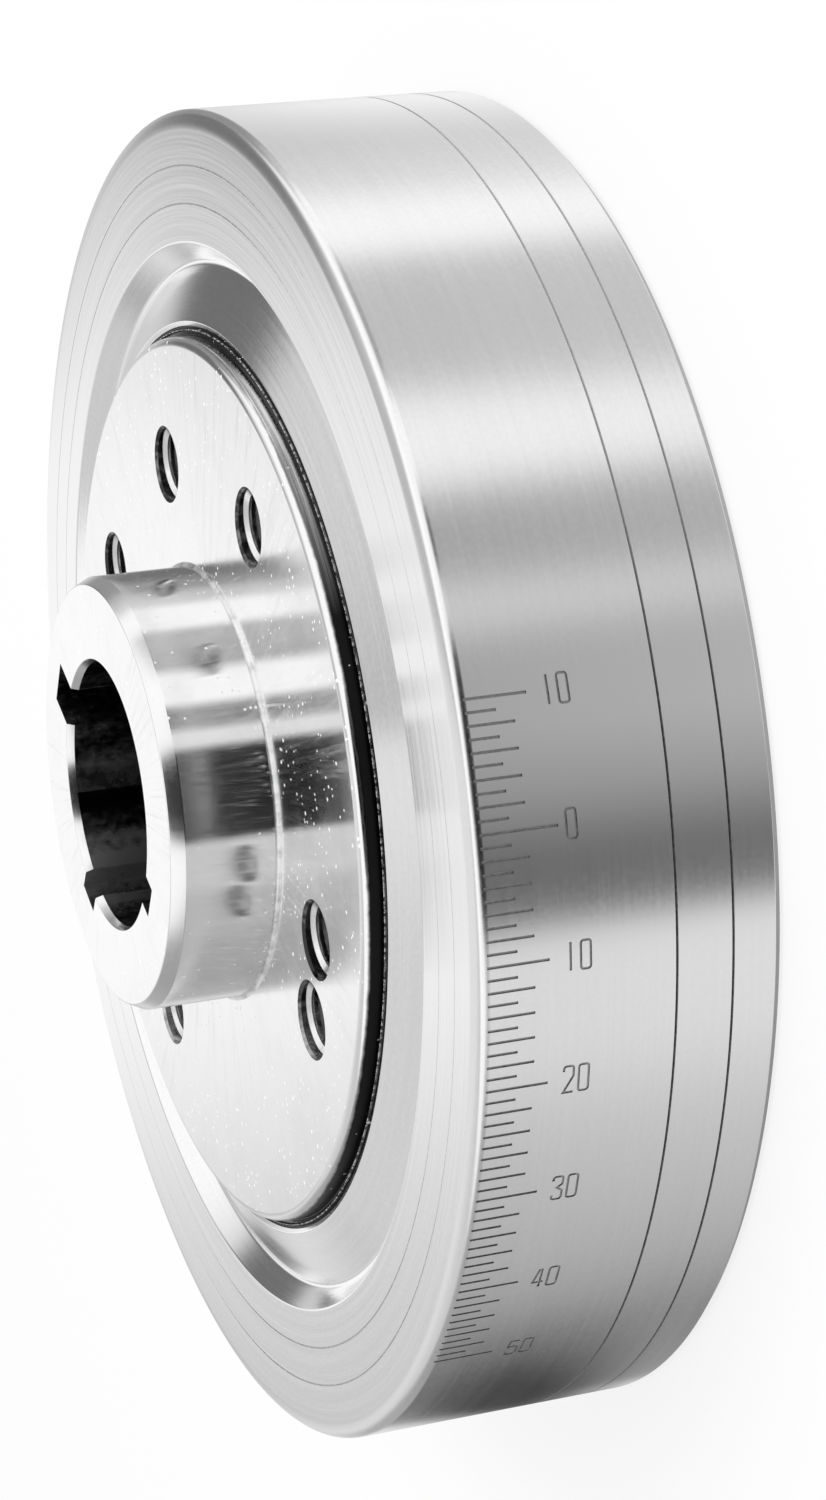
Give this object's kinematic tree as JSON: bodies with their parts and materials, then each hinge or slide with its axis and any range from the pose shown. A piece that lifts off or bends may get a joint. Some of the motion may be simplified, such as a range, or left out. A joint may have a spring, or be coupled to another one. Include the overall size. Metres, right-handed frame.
{
  "type": "harmonic balancer",
  "caption": "Round crankshaft vibration damper: a keyed metal hub with a raised boss and web, carrying a heavy ring through a thin bonded rubber ring, with a degree scale on the rim.",
  "frame": {"origin": "on the shaft axis, in the plane of the heavy ring's flat back face, on which the part lies", "axes": "+Z along the shaft axis, from the back face towards the boss and the pulley; the zero of the rim's degree scale stands close to +X"},
  "size_m": [0.175, 0.175, 0.0551],
  "materials": {
    "hub_metal": "polished, bright",
    "rubber": "smooth, glossy",
    "ring_metal": "fine turned, bright"
  },
  "bodies": {
    "root": {"hub": "hub_metal", "rubber_ring": "rubber", "inertia_ring": "ring_metal"}
  },
  "joints": []
}
